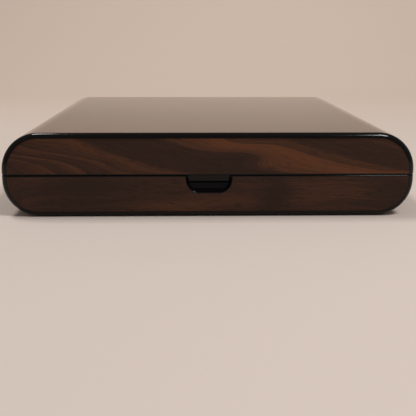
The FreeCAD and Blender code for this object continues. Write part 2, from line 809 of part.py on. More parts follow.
build_half(BASE, "bottom")
build_half(LID, "top")
soft_pad(BASE, "base_floor_pad", "Dim.floor_pad")
soft_pad(LID, "lid_pad", "Dim.lid_pad")
dividers()
base_felt()
finger_notch_liner()
hinge_pin("left", -1)
hinge_pin("right", 1)
doc.recompute()

for item in doc.Objects:
    if "Invalid" in item.State or "Error" in item.State:
        raise RuntimeError(f"{item.Name} failed to compute")
for piece in pieces:
    if piece.Shape.isNull() or not piece.Shape.isValid() or not piece.Shape.Solids:
        raise RuntimeError(f"{piece.Label} has no valid solid")

os.makedirs("parts", exist_ok=True)
for piece in pieces:
    piece.Shape.exportStep(f"parts/{piece.Label}.step")
print(f"{len(pieces)} pieces written")
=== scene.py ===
"""Looks of a wooden money box: lacquered rosewood, black edging, suede linings and brass hinges.

Every object is in metres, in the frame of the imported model: +Z is up, the front faces -Y and +X is to
the right as seen from the front.
"""
import bmesh
import bpy
import json
import math
from mathutils import Matrix, Vector, noise


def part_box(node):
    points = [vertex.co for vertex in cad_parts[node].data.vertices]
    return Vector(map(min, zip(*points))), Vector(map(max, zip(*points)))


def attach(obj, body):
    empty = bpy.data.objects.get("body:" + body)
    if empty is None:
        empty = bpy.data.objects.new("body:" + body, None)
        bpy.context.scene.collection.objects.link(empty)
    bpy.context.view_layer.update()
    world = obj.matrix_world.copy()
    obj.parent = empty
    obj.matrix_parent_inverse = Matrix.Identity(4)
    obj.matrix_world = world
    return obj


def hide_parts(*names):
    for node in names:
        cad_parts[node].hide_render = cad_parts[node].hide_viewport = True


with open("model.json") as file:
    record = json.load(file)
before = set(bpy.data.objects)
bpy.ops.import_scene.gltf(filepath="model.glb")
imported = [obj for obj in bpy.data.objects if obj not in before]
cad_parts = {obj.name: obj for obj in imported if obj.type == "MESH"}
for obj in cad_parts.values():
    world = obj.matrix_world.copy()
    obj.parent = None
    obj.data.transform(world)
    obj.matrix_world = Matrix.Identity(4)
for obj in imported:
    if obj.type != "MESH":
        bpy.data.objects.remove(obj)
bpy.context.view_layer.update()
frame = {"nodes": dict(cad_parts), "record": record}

# Millimetres in metres and back, and a quarter turn
MM = 0.001
PER_METRE = 1000.0
QUARTER = math.pi / 2

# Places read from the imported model
HALF_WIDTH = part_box("base_wrap_veneer")[1][0]
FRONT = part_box("base_front_veneer")[0][1]
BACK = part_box("base_back_veneer")[1][1]
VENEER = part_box("base_front_veneer")[1][1] - FRONT
INNER_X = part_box("base_front_lining")[1][0]
INNER_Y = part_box("base_back_lining")[1][1]

# Round ends: the straight part next to the rim
BASE_STRAIGHT = 3.8 * MM
LID_STRAIGHT = 2.4 * MM

# Rolled edge: its reach over the face and back from it, and how much of each is black bead
ROLL_FACE = 5.8 * MM
ROLL_BACK = 4.6 * MM
BEAD_FACE = 4.1 * MM
BEAD_BACK = 3.8 * MM

# Share of the rolled edge's size on the sides and on the flats
SIDE_SHARE = 1.0
BASE_FLAT_SHARE = 0.77
LID_FLAT_SHARE = 0.85

# Rims, and the cuts for the hinge leaves
RIM_ROUND = 0.55 * MM
RIM_HOLD = 0.3 * MM
HINGE_FIT = 0.1 * MM

# Finger notch: its outline, its lip, its cove and the columns of its surface
NOTCH_FOOT = 7.0 * MM
NOTCH_RISE = 2.6
NOTCH_BULGE = 1.75
NOTCH_SIDE_LIP = 0.35 * MM
NOTCH_FOOT_LIP = 0.95 * MM
NOTCH_COVE = 2.2 * MM
NOTCH_COVE_DEPTH = 8.5 * MM
NOTCH_BLEND = 1.4 * MM
NOTCH_COLUMNS = 26
NOTCH_SPREAD = 2.2

# Hinge screws: their places, their sizes and the fineness of their meshes
SCREW_SPACING = 22.0 * MM
SCREW_SET = 6.1 * MM
SCREW_SINK = 0.15 * MM
SCREW_HEAD = 2.3 * MM
SCREW_SHANK = 1.2 * MM
SCREW_LENGTH = 11.0 * MM
SLOT_WIDTH = 0.6 * MM
SLOT_DEPTH = 0.7 * MM
SLOT_LENGTH_IN_HEADS = 3.0
SLOT_SEED = 5
HEAD_SIDES = 40
SHANK_SIDES = 24

# Felt: round corners, and a cut edge that is bevelled in two steps
FELT_CORNER = 6.0 * MM
FELT_EDGE = 0.2 * MM
FELT_BEVEL = 0.3 * FELT_EDGE

# Cloth-covered walls and dividers: rounding, spacing of the points and ripple
WALL_CLOTH = (0.5 * MM, 5.0 * MM, 0.06 * MM)
DIVIDER_CLOTH = (1.5 * MM, 4.0 * MM, 0.08 * MM)
RIPPLE_SIZE = 14.0 * MM
DIVIDERS = ("long_divider", "note_divider", "front_coin_divider", "rear_coin_divider")

# Filling of the pads
PAD_ROUND = 0.7 * MM
PAD_SPACING = 5.0 * MM
PAD_RIPPLE = 0.1 * MM
PAD_PRESSURE = 4.0
FLOOR_SWELL = 1.0 * MM
LID_SWELL = 2.2 * MM
SWELL_FRAMES = 20

# Fineness of the meshes
ROUND_STEPS = 24
CORNER_STEPS = 8
BEND_STEPS = 4
BEAD_STEPS = 24
HOLD = 1.5 * MM
MERGE = 0.001 * MM
SHARP = math.radians(35)

# The rolled edge turns from -90 degrees on the outside to 0 on the face; the bead is its middle part
OUTSIDE = -QUARTER
BEAD_START = -math.acos(1 - BEAD_BACK / ROLL_BACK)
BEAD_END = math.asin(BEAD_FACE / ROLL_FACE - 1)
ENDS = {"front": (FRONT, 1), "back": (BACK, -1)}


def roll(turn):
    """Inset and depth of the rolled edge at a turn."""
    return ROLL_FACE * (1 + math.sin(turn)), ROLL_BACK * (1 - math.cos(turn))


def steps_between(first, last, count):
    return [first + (last - first) * step / count for step in range(count + 1)]


class Half:
    """The base or the lid: its outer flat, the edge of its veneer and its rim, as heights."""

    def __init__(self, name, to_rim, straight, flat_share):
        wrap = [corner[2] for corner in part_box(f"{name}_wrap_veneer")]
        facing = [corner[2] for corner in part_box(f"{name}_rim_facing")]
        self.name = name
        self.to_rim = to_rim
        self.flat_share = flat_share
        self.flat, self.edge = wrap if to_rim > 0 else wrap[::-1]
        self.rim = facing[1] if to_rim > 0 else facing[0]
        self.radius = abs(self.rim - self.flat) - straight
        self.arc_x = HALF_WIDTH - self.radius
        self.outline = self.trace()

    def trace(self):
        """Outside from the left rim over the flat to the right rim.

        Each entry is a place in x and z, the outward direction there and the share of the roll.
        """
        bend = self.flat + self.to_rim * self.radius
        right = [(self.arc_x - HOLD, self.flat, 0.0, -self.to_rim, self.flat_share)]
        for angle in steps_between(0.0, QUARTER, ROUND_STEPS):
            out_x = math.sin(angle)
            out_z = -self.to_rim * math.cos(angle)
            share = self.flat_share + (SIDE_SHARE - self.flat_share) * out_x ** 2
            x = self.arc_x + self.radius * out_x
            right.append((x, bend + self.radius * out_z, out_x, out_z, share))
        right.append((HALF_WIDTH, self.edge, 1.0, 0.0, SIDE_SHARE))
        return [(-x, z, -out_x, out_z, share) for x, z, out_x, out_z, share in right[::-1]] + right

    def section(self, inset):
        """The outline moved in by an even inset, as (x, z) pairs."""
        return [(x - out_x * inset, z - out_z * inset) for x, z, out_x, out_z, _ in self.outline]

    def rolled(self, end, inset, depth):
        """The outline moved in and back from a face, each point by its own share."""
        plane, inward = ENDS[end]
        return [(x - out_x * inset * share, plane + inward * depth * share, z - out_z * inset * share)
                for x, z, out_x, out_z, share in self.outline]


BASE = Half("base", 1, BASE_STRAIGHT, BASE_FLAT_SHARE)
LID = Half("lid", -1, LID_STRAIGHT, LID_FLAT_SHARE)


# Node trees written as expressions

class Value:
    """Output of a node that takes part in arithmetic, which adds the Math nodes."""

    def __init__(self, nodes, socket):
        self.nodes = nodes
        self.socket = socket

    def __add__(self, other):
        return self.nodes.math("ADD", self, other)

    def __radd__(self, other):
        return self.nodes.math("ADD", other, self)

    def __sub__(self, other):
        return self.nodes.math("SUBTRACT", self, other)

    def __rsub__(self, other):
        return self.nodes.math("SUBTRACT", other, self)

    def __mul__(self, other):
        return self.nodes.math("MULTIPLY", self, other)

    def __rmul__(self, other):
        return self.nodes.math("MULTIPLY", other, self)

    def __truediv__(self, other):
        return self.nodes.math("DIVIDE", self, other)

    def __rtruediv__(self, other):
        return self.nodes.math("DIVIDE", other, self)


class Nodes:
    """A node tree, with one method that makes any node."""

    def __init__(self, tree):
        self.tree = tree

    def node(self, kind, settings=None, sockets=None, output=0):
        """Make a node: its settings first, then the values or links of its sockets."""
        node = self.tree.nodes.new(kind)
        for name, setting in (settings or {}).items():
            if name == "stops":
                fill_ramp(node.color_ramp, setting)
            else:
                setattr(node, name, setting)
        for key, value in (sockets or {}).items():
            links = value if isinstance(value, list) else [value]
            if not isinstance(links[0], Value):
                node.inputs[key].default_value = value
                continue
            for link in links:
                self.tree.links.new(link.socket, node.inputs[key])
        return Value(self, node.outputs[output]) if node.outputs else None

    def math(self, operation, *values):
        return self.node("ShaderNodeMath", {"operation": operation}, dict(enumerate(values)))

    def point(self, x=0.0, y=0.0, z=0.0):
        return self.node("ShaderNodeCombineXYZ", None, {0: x, 1: y, 2: z})


def fill_ramp(ramp, stops):
    """Give a ramp its stops, each a place from 0 to 1 and a grey or a colour."""
    while len(ramp.elements) > 1:
        ramp.elements.remove(ramp.elements[-1])
    for number, (place, shade) in enumerate(stops):
        element = ramp.elements.new(place) if number else ramp.elements[0]
        element.position = place
        colour = shade if isinstance(shade, tuple) else (shade, shade, shade)
        element.color = (*colour, 1.0)


class Shader(Nodes):
    """Node tree of one material."""

    def __init__(self, name):
        self.material = bpy.data.materials.new(name)
        self.material.use_nodes = True
        super().__init__(self.material.node_tree)
        self.tree.nodes.clear()

    def object_mm(self):
        """The place on the object in millimetres, as three values."""
        place = self.node("ShaderNodeTexCoord", output="Object")
        return self.axes(place)

    def axes(self, place):
        parts = [self.node("ShaderNodeSeparateXYZ", None, {0: place}, axis) for axis in "XYZ"]
        return [part * PER_METRE for part in parts]

    def noise(self, place, detail=2.0, roughness=0.5, distortion=0.0):
        sockets = {"Vector": place, "Scale": 1.0, "Detail": detail,
                   "Roughness": roughness, "Distortion": distortion}
        return self.node("ShaderNodeTexNoise", None, sockets)

    def speckle(self, along, across, **look):
        """Noise over the object, from its scales per millimetre along x and across it."""
        x, y, z = self.object_mm()
        return self.noise(self.point(x * along, y * across, z * across), **look)

    def waver(self, along, across, seed):
        """Slow noise about zero, which moves lines out of the straight."""
        return self.noise(self.point(along, across, seed)) - 0.5

    def spot(self, across, up):
        """1 in the middle of a spot, and close to 0 at twice its half width and half height."""
        return self.math("EXPONENT", (across * across + up * up) * -1.0)

    def ramp(self, value, stops):
        return self.node("ShaderNodeValToRGB", {"stops": stops}, {0: value})

    def between(self, value, low, high):
        """0 below low, 1 above high and smooth between them."""
        settings = {"interpolation_type": "SMOOTHSTEP"}
        return self.node("ShaderNodeMapRange", settings, {0: value, 1: low, 2: high})

    def bump(self, height, strength, distance):
        sockets = {"Height": height, "Strength": strength, "Distance": distance}
        return self.node("ShaderNodeBump", None, sockets)

    def surface(self, sockets):
        """Finish the material with one shader."""
        shader = self.node("ShaderNodeBsdfPrincipled", None, sockets)
        self.node("ShaderNodeOutputMaterial", None, {"Surface": shader})
        return self.material


# Rosewood: tones from dark brown to light red-brown
ROSEWOOD_TONES = (
    (0.00, (0.0260, 0.0110, 0.0062)),
    (0.20, (0.0380, 0.0155, 0.0090)),
    (0.42, (0.0620, 0.0235, 0.0110)),
    (0.65, (0.0940, 0.0330, 0.0140)),
    (1.00, (0.1500, 0.0490, 0.0180)),
)

# Figure of the lid's front: places along the parting in millimetres, and tones
LID_FIGURE = (
    (-150, 0.30), (-118, 0.24), (-109, 0.30), (-100, 0.48), (-96, 0.18), (-88, 0.26), (-80, 0.54),
    (-76, 0.12), (-64, 0.26), (-54, 0.52), (-50, 0.20), (-43, 0.36), (-34, 0.48), (-20, 0.44),
    (-14, 0.14), (0, 0.06), (38, 0.06), (48, 0.20), (54, 0.52), (76, 0.63), (92, 0.79),
    (118, 0.78), (122, 0.42), (138, 0.40), (148, 0.15), (180, 0.12), (206, 0.28), (260, 0.26),
)

# Lean of the lid's streaks, in millimetres along for each one up, and its changes along the front
LEAN = 3.4
LEAN_TO_RIGHT = 0.0065
LEAN_OUTWARDS = 0.0035
MID_LEFT = (50.0, 85.0)
MID_LEFT_LEAN = 0.4
FAR_LEFT = (88.0, 118.0)
FAR_LEFT_LEAN = 0.8

# Flare of the streaks just above the parting, and their start there
FLARE_RATE = 0.4
FLARE = 18.0
STREAK_START = 15.0

# Low arches at the left end: where they begin, how far up they go, and their lean
ARCH_LEFT = (35.0, 80.0)
ARCH_TOP = (6.0, 16.0)
ARCH_LEAN = 1.6

# Dark lens over the notch: its middle and half size, and how far it moves the figure
LENS_X, LENS_Z = 26.0, 13.0
LENS_WIDTH, LENS_HEIGHT = 22.0, 5.5
LENS_SHIFT = 34.0

# Brown band above the flame: where it fades in and out, and how far it moves the figure
CREST_FOOT = (15.0, 22.0)
CREST_LEFT = (-4.0, 12.0)
CREST_RIGHT = 53.0
CREST_FADE = 36.0
CREST_SHIFT = 27.0

# Waver of the lid's figure, and spacing of its fine grain
LID_WAVER = 8.0
LID_GRAIN = 0.28

# Light strip of the lid's front along the parting, at its right end
STRIP_TONE = 0.75
STRIP_START = (78.0, 104.0)
STRIP_HEIGHT = 6.75
STRIP_TAPER = 0.035
STRIP_EDGE = 0.5

# Waver of the base's patches along and up, and of its fine grain
PATCH_WAVER_X = 24.0
PATCH_WAVER_Z = 8.0
BASE_GRAIN_WAVER = 14.0

# Patches of the base's front: middle along and up, half width and half height in mm, change of tone
BASE_PATCHES = (
    (-88, 19, 38, 8, -0.22), (-118, 14, 14, 12, 0.05), (-60, 8, 40, 5, -0.10),
    (-20, 7, 34, 5, 0.30), (12, 12, 22, 4, 0.16), (44, 16, 8, 13, -0.36), (82, 15, 32, 11, 0.20),
    (120, 17, 14, 10, -0.18), (95, 8, 18, 3, -0.18),
)

# Bands of the wood that the photo doesn't show, and how far they wave
BAND_TONES = ((0.30, 0.12), (0.46, 0.34), (0.58, 0.50), (0.70, 0.86))
BAND_WAVE = 46.0

# Streaks, fibres, flecks and pores: scales along and across the grain, seed, detail and roughness
GRAIN_LAYERS = (
    (0.012, 0.33, 0.0, 3.0, 0.60),
    (0.040, 1.20, 3.0, 3.0, 0.65),
    (0.110, 1.00, 5.0, 1.0, 0.50),
    (0.300, 5.00, 7.0, 1.0, 0.50),
)
STREAK_TONE = 0.50
FIBRE_TONE = 0.50
FLECK_TONE = 0.20
PORE_TONE = 0.12
FLECK_EDGE = (0.55, 0.66)
PORE_EDGE = (0.62, 0.72)

# Lacquers: clear on the wrap and on the faces, and black on the edging and in the notch
LACQUER_IOR = 1.6
FACE_LACQUER_IOR = 1.26
BLACK_LACQUER_IOR = 1.30
NOTCH_LACQUER_IOR = 1.29
CLEAR_CLOUD = 0.02


def fine_grain(shader, along, across, seed):
    """Change of tone from streaks, fibres, flecks and pores; all run along the grain."""
    layers = []
    for scale_along, scale_across, offset, detail, roughness in GRAIN_LAYERS:
        place = shader.point(along * scale_along, across * scale_across, seed + offset)
        layers.append(shader.noise(place, detail, roughness))
    streaks, fibres, flecks, pores = layers
    change = (streaks - 0.5) * STREAK_TONE + (fibres - 0.5) * FIBRE_TONE
    change = change - shader.between(flecks, *FLECK_EDGE) * FLECK_TONE
    return change - shader.between(pores, *PORE_EDGE) * PORE_TONE


def rosewood(shader, tone, sheen_seed, ior):
    """Rosewood of a given tone under clear high-gloss lacquer."""
    x, y, z = shader.object_mm()
    cloud = shader.noise(shader.point(x * CLEAR_CLOUD, y * CLEAR_CLOUD, z * CLEAR_CLOUD + sheen_seed))
    return shader.surface({
        "Base Color": shader.ramp(tone, ROSEWOOD_TONES),
        "Roughness": 0.025 + cloud * 0.03,
        "IOR": ior,
    })


def lid_front_rosewood():
    """Flame figure that falls to the right, with arched streaks at the left end."""
    shader = Shader("lid_front_rosewood")
    x, _, z = shader.object_mm()
    height = z - LID.rim * PER_METRE
    away = shader.math("ABSOLUTE", x)
    left = x * -1.0
    bend = shader.between(left, *FAR_LEFT) * FAR_LEFT_LEAN
    bend = bend - shader.between(left, *MID_LEFT) * MID_LEFT_LEAN
    lean = LEAN + x * LEAN_TO_RIGHT + away * LEAN_OUTWARDS + bend
    flare = 1.0 - shader.math("EXPONENT", height * -FLARE_RATE)
    sweep = height * lean + flare * FLARE - STREAK_START
    arch = shader.between(left, *ARCH_LEFT) * (1.0 - shader.between(height, *ARCH_TOP))
    waver = shader.waver(x * 0.014, z * 0.07, 4.0)
    lens = shader.spot((x - LENS_X) / LENS_WIDTH, (height - LENS_Z) / LENS_HEIGHT)
    crest = shader.between(height, *CREST_FOOT) * shader.between(x, *CREST_LEFT)
    crest = crest * shader.between(CREST_RIGHT - x, 0.0, CREST_FADE)
    place = x + sweep + (height * ARCH_LEAN - sweep) * arch
    place = place + waver * LID_WAVER - lens * LENS_SHIFT + crest * CREST_SHIFT
    first = LID_FIGURE[0][0]
    span = LID_FIGURE[-1][0] - first
    stops = [((mark - first) / span, tone) for mark, tone in LID_FIGURE]
    figure = shader.ramp((place - first) / span, stops)
    below = STRIP_HEIGHT - x * STRIP_TAPER - height
    strip = shader.between(below, -STRIP_EDGE, STRIP_EDGE) * shader.between(x, *STRIP_START)
    figure = shader.math("MAXIMUM", figure, strip * STRIP_TONE)
    tone = figure + fine_grain(shader, x, place * LID_GRAIN, seed=11.0)
    return rosewood(shader, tone, sheen_seed=1.0, ior=FACE_LACQUER_IOR)


def base_front_rosewood():
    """Quieter, mottled figure."""
    shader = Shader("base_front_rosewood")
    x, _, z = shader.object_mm()
    waver = shader.waver(x * 0.018, z * 0.09, 9.0)
    tone = shader.noise(shader.point(x * 0.011, z * 0.10, 2.0)) * 0.3 + 0.06
    for centre, height, half_width, half_height, change in BASE_PATCHES:
        across = (x + waver * PATCH_WAVER_X - centre) / half_width
        up = (z + waver * PATCH_WAVER_Z - height) / half_height
        tone = tone + shader.spot(across, up) * change
    tone = tone + fine_grain(shader, x, z + waver * BASE_GRAIN_WAVER, seed=23.0)
    return rosewood(shader, tone, sheen_seed=2.0, ior=FACE_LACQUER_IOR)


def banded_tone(shader, along, across, seed):
    """Figure of wood that the photo doesn't show: long bands with slow waves."""
    place = across + shader.waver(along * 0.006, across * 0.012, seed) * BAND_WAVE
    bands = shader.noise(shader.point(along * 0.0025, place * 0.055, seed + 1.0), detail=3.0, roughness=0.55)
    return shader.ramp(bands, BAND_TONES) + fine_grain(shader, along, place, seed + 2.0)


def back_rosewood():
    shader = Shader("back_rosewood")
    x, _, z = shader.object_mm()
    tone = banded_tone(shader, x, z * 2.0, seed=31.0)
    return rosewood(shader, tone, sheen_seed=3.0, ior=FACE_LACQUER_IOR)


def wrap_rosewood(half):
    """Veneer whose grain follows the sheet round the ends."""
    shader = Shader(f"{half.name}_wrap_rosewood")
    place = shader.node("ShaderNodeAttribute", {"attribute_name": "grain"}, output="Vector")
    along, across, _ = shader.axes(place)
    seed = 47.0 if half is LID else 61.0
    return rosewood(shader, banded_tone(shader, along, across, seed), sheen_seed=4.0, ior=LACQUER_IOR)


# Tones of the cloths and of the boards inside, from dark to light
SUEDE_TONES = ((0.30, (0.170, 0.118, 0.080)), (0.68, (0.345, 0.262, 0.190)))
FELT_TONES = ((0.3, (0.010, 0.009, 0.009)), (0.7, (0.040, 0.037, 0.036)))
CORE_TONES = ((0.3, (0.30, 0.19, 0.105)), (0.7, (0.52, 0.37, 0.23)))


def ebonised_lacquer(name, ior, dark, light):
    """Black-stained hardwood under gloss lacquer, with a trace of brown grain."""
    shader = Shader(name)
    grain = shader.speckle(0.02, 0.8, detail=3.0, roughness=0.6)
    return shader.surface({
        "Base Color": shader.ramp(grain, ((0.35, dark), (0.75, light))),
        "Roughness": 0.09 + grain * 0.04,
        "IOR": ior,
    })


def hinge_brass(name, dull, bright):
    """Machined brass: fine lines along the leaves, and slight tarnish."""
    shader = Shader(name)
    lines = shader.speckle(0.15, 6.0, detail=3.0, roughness=0.7)
    tarnish = shader.speckle(0.18, 0.22, detail=3.0)
    return shader.surface({
        "Base Color": shader.ramp(tarnish, ((0.35, dull), (0.62, bright))),
        "Metallic": 1.0,
        "Roughness": 0.20 + lines * 0.16,
        "Normal": shader.bump(lines, 0.15, 0.05 * MM),
    })


def suede():
    """Taupe suede: nap that lies in patches, and short fibres."""
    shader = Shader("suede")
    nap = shader.speckle(0.05, 0.05, detail=3.0, roughness=0.6, distortion=0.6)
    fibres = shader.speckle(2.2, 2.2, detail=3.0, roughness=0.7)
    return shader.surface({
        "Base Color": shader.ramp(nap * 0.6 + fibres * 0.4, SUEDE_TONES),
        "Roughness": 0.86 + fibres * 0.12,
        "Specular IOR Level": 0.2,
        "Sheen Weight": 0.35,
        "Sheen Roughness": 0.45,
        "Normal": shader.bump(fibres, 0.5, 0.25 * MM),
    })


def black_felt():
    shader = Shader("black_felt")
    hairs = shader.speckle(1.1, 1.1, detail=4.0, roughness=0.75, distortion=1.5)
    return shader.surface({
        "Base Color": shader.ramp(hairs, FELT_TONES),
        "Roughness": 0.9 + hairs * 0.1,
        "Specular IOR Level": 0.1,
        "Sheen Weight": 0.3,
        "Normal": shader.bump(hairs, 0.8, 0.4 * MM),
    })


def core_hardwood():
    """Plain pale hardwood of the boards inside."""
    shader = Shader("core_hardwood")
    rings = shader.speckle(0.01, 0.22, detail=3.0, roughness=0.6)
    fibres = shader.speckle(0.08, 2.2)
    return shader.surface({
        "Base Color": shader.ramp(rings * 0.7 + fibres * 0.3, CORE_TONES),
        "Roughness": 0.5 + fibres * 0.2,
        "Normal": shader.bump(fibres, 0.2, 0.1 * MM),
    })


EBONISED = ebonised_lacquer("ebonised_lacquer", BLACK_LACQUER_IOR,
                            (0.0012, 0.0009, 0.0008), (0.0042, 0.0028, 0.0023))
NOTCH_BLACK = ebonised_lacquer("notch_lacquer", NOTCH_LACQUER_IOR,
                               (0.0040, 0.0034, 0.0036), (0.0065, 0.0056, 0.0058))
BRASS = hinge_brass("hinge_brass", (0.46, 0.29, 0.10), (0.70, 0.48, 0.19))
SCREW_BRASS = hinge_brass("screw_brass", (0.56, 0.39, 0.17), (0.78, 0.58, 0.29))
SUEDE = suede()
FELT = black_felt()
CORE = core_hardwood()
BACK_VENEER = back_rosewood()


def paint_nodes():
    """Give the nodes that stay their materials."""
    by_slot = {"ebonised": EBONISED, "brass": BRASS, "suede": SUEDE, "felt": FELT, "core": CORE,
               "veneer": BACK_VENEER}
    for subpart in frame["record"]["subparts"]:
        for place in frame["nodes"][subpart["node"]].material_slots:
            place.material = by_slot[subpart["material_slot"]]


# Meshes

def add_object(name, data):
    """A new object in the scene."""
    item = bpy.data.objects.new(name, data)
    bpy.context.scene.collection.objects.link(item)
    return item


def new_piece(name, mesh, material):
    """A smooth piece of one material, sharp where its faces meet at an angle."""
    mesh.materials.clear()
    mesh.materials.append(material)
    mesh.shade_smooth()
    mesh.set_sharp_from_angle(angle=SHARP)
    return add_object(name, mesh)


def outward_mesh(shape, mesh):
    """Turn the faces of a shape outwards and store it in a mesh."""
    bmesh.ops.recalc_face_normals(shape, faces=shape.faces)
    shape.to_mesh(mesh)
    shape.free()
    return mesh


def closed_mesh(name, corners, faces):
    """A mesh with its doubles merged and its faces turned outwards."""
    mesh = bpy.data.meshes.new(name)
    mesh.from_pydata(corners, [], faces)
    shape = bmesh.new()
    shape.from_mesh(mesh)
    bmesh.ops.remove_doubles(shape, verts=shape.verts, dist=MERGE)
    return outward_mesh(shape, mesh)


def stand_in(piece, body, slot, *nodes):
    """Put a finished piece in the place of its nodes."""
    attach(piece, body)
    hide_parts(*nodes)


def rings_to_faces(count, rings, closed_rings=True):
    """Faces between rings of corners that lie one after another."""
    faces = []
    for ring in range(rings - 1):
        for number in range(count if closed_rings else count - 1):
            following = (number + 1) % count
            start = ring * count
            faces.append((start + number, start + following,
                          start + count + following, start + count + number))
    return faces


def notch_outline(top):
    """Finger notch in the base's front, from its left top down and round to its right top."""
    low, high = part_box("finger_notch_liner")
    right = []
    for angle in steps_between(0.0, QUARTER, 2 * CORNER_STEPS):
        reach = math.sin(angle)
        rise = 1 - (1 - reach ** NOTCH_BULGE) ** (1 / NOTCH_RISE)
        height = low[2] + (BASE.rim - low[2]) * rise
        if height < top:
            right.append((NOTCH_FOOT + (high[0] - NOTCH_FOOT) * reach, height))
    right.append((notch_half_width(top), top))
    return [(-x, z) for x, z in right[::-1]] + right


def notch_half_width(height):
    low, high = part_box("finger_notch_liner")
    rise = (height - low[2]) / (BASE.rim - low[2])
    reach = (1 - (1 - rise) ** NOTCH_RISE) ** (1 / NOTCH_BULGE)
    return NOTCH_FOOT + (high[0] - NOTCH_FOOT) * reach


def mortise_outlines(half):
    """Cuts for the hinge leaves in the back, from left to right."""
    points = []
    for side in ("left", "right"):
        low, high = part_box(f"{side}_{half.name}_hinge_leaf")
        left = low[0] - HINGE_FIT
        right = high[0] + HINGE_FIT
        floor = low[2] if half is BASE else high[2]
        points += [(left, half.edge), (left, floor), (right, floor), (right, half.edge)]
    return points


def face_veneer(half, end, material):
    """Face of a half, whose margin rolls back to meet the edging."""
    plane, inward = ENDS[end]
    cuts = []
    if end == "back":
        cuts = mortise_outlines(half)
    elif half is BASE:
        cuts = notch_outline(BASE.edge)
    under = plane + inward * VENEER
    corners = [(x, under, z) for x, _, z in half.rolled(end, *roll(BEAD_END))]
    corners += [(x, under, z) for x, z in cuts[::-1]]
    count = len(corners)
    turns = steps_between(BEAD_END, 0.0, CORNER_STEPS)
    for turn in turns:
        corners += half.rolled(end, *roll(turn))
        corners += [(x, plane, z) for x, z in cuts[::-1]]
    rings = len(turns) + 1
    faces = rings_to_faces(count, rings)
    faces.append(range(count))
    faces.append(range(count * (rings - 1), count * rings))
    piece = new_piece(f"{half.name}_{end}_face", closed_mesh("face", corners, faces), material)
    stand_in(piece, half.name, "veneer", f"{half.name}_{end}_veneer")


# Middle of the finger scoop: heights above its lowest edge and depths behind the front, in millimetres
SCOOP = ((0.0, 1.5), (0.9, 2.0), (1.3, 2.8), (1.9, 3.6), (2.7, 4.4), (3.7, 5.1), (4.8, 5.6), (5.7, 5.85),
         (6.1, 5.95), (6.35, 6.15), (6.5, 6.5), (6.55, 7.0), (6.6, 8.0), (7.4, 8.0), (12.0, 8.0))
SCOOP_STEPS = 3
LIP_STEPS = 12


def distance_to_line(x, z, line):
    """Shortest way from a place to a line of straight runs."""
    place = Vector((x, z))
    nearest = math.inf
    for first, second in zip(line, line[1:]):
        first = Vector(first)
        run = Vector(second) - first
        share = min(max((place - first).dot(run) / run.length_squared, 0.0), 1.0)
        nearest = min(nearest, (place - first - run * share).length)
    return nearest


def scoop_depth(middle, wall, lip):
    """Depth of the scoop from its depth in the middle, the way to its outline and the outline's lip."""
    if wall < lip:
        side = lip - math.sqrt(lip ** 2 - wall ** 2)
    else:
        left = max(1 - (wall - lip) / NOTCH_COVE, 0.0)
        side = lip + NOTCH_COVE_DEPTH * math.sqrt(1 - left ** 2)
    near = max(NOTCH_BLEND - abs(middle - side), 0.0) / NOTCH_BLEND
    return max(min(middle, side) - near ** 2 * NOTCH_BLEND / 4, 0.0)


def scoop_rows():
    """Heights and middle depths of the rows of the scoop's surface."""
    rows = [(height, SCOOP[0][1] * MM) for height in steps_between(0.0, NOTCH_FOOT_LIP, LIP_STEPS)]
    for (low, near), (high, far) in zip(SCOOP, SCOOP[1:]):
        heights = steps_between(low * MM, high * MM, SCOOP_STEPS)
        depths = steps_between(near * MM, far * MM, SCOOP_STEPS)
        rows += [row for row in zip(heights, depths) if row[0] > rows[-1][0]]
    return rows


def finger_scoop():
    """Black liner of the finger notch: a scoop, a ledge and a back wall."""
    low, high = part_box("finger_notch_liner")
    line = notch_outline(BASE.rim)
    rows = scoop_rows()
    corners = []
    for height, middle in rows:
        z = low[2] + height
        half = notch_half_width(z)
        fall = (BASE.rim - z) / (BASE.rim - low[2])
        lip = NOTCH_SIDE_LIP + (NOTCH_FOOT_LIP - NOTCH_SIDE_LIP) * fall ** 2
        left = [half * ((step / NOTCH_COLUMNS) ** NOTCH_SPREAD - 1) for step in range(NOTCH_COLUMNS)]
        for x in left + [0.0] + [-x for x in left[::-1]]:
            depth = scoop_depth(middle, distance_to_line(x, z, line), lip)
            corners.append((x, FRONT + depth, z))
    count = 2 * NOTCH_COLUMNS + 1
    last = len(corners) - count
    faces = rings_to_faces(count, len(rows), closed_rings=False)
    edge = list(range(count))
    edge += [count * row + count - 1 for row in range(1, len(rows))]
    edge += [last + number for number in range(count - 2, -1, -1)]
    edge += [count * row for row in range(len(rows) - 2, 0, -1)]
    behind = range(len(corners), len(corners) + len(edge))
    corners += [(corners[number][0], high[1], corners[number][2]) for number in edge]
    for number, corner in enumerate(edge):
        following = (number + 1) % len(edge)
        faces.append((corner, edge[following], behind[following], behind[number]))
    faces.append(behind)
    piece = new_piece("finger_scoop", closed_mesh("finger_scoop", corners, faces), NOTCH_BLACK)
    stand_in(piece, "base", "ebonised", "finger_notch_liner")


